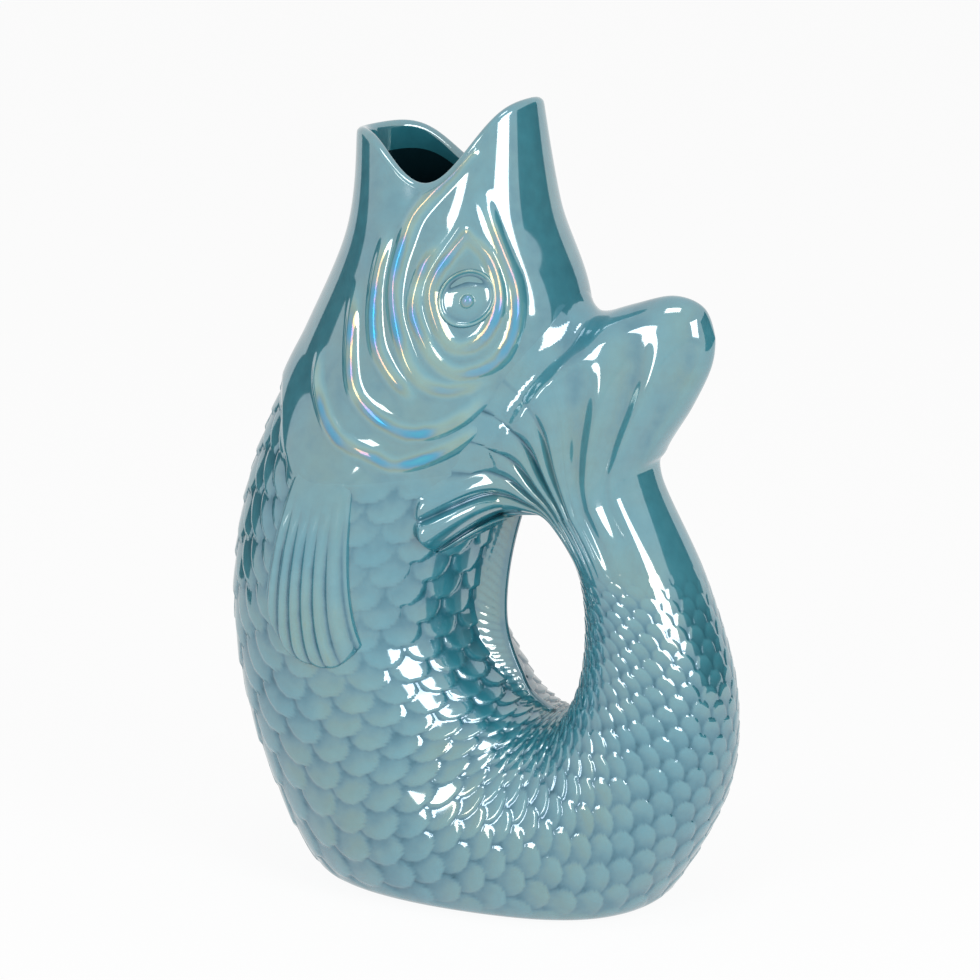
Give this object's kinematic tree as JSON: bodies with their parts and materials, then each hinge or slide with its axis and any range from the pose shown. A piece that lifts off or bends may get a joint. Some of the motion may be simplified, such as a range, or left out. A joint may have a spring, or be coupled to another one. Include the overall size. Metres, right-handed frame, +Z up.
{
  "type": "fish-shaped carafe",
  "caption": "Glazed ceramic carafe shaped as a standing fish: it pours from the open mouth and is held by the hollow tail, which loops up behind the trunk into a fluted fan.",
  "frame": {"origin": "on the table, in the middle of the flat foot", "axes": "+Z up, -X towards the belly and mouth, +X towards the tail, -Y towards the fish's left side"},
  "size_m": [0.1692, 0.103, 0.254],
  "materials": {
    "lustre_glaze": "high-gloss teal glaze with a thin pearly lustre"
  },
  "bodies": {
    "root": {"head_shell": "lustre_glaze", "belly_shell": "lustre_glaze", "tail_handle": "lustre_glaze", "tail_fan": "lustre_glaze", "dorsal_fin": "lustre_glaze", "pectoral_fin_left": "lustre_glaze", "pectoral_fin_right": "lustre_glaze", "eye_left": "lustre_glaze", "eye_right": "lustre_glaze"}
  },
  "joints": []
}
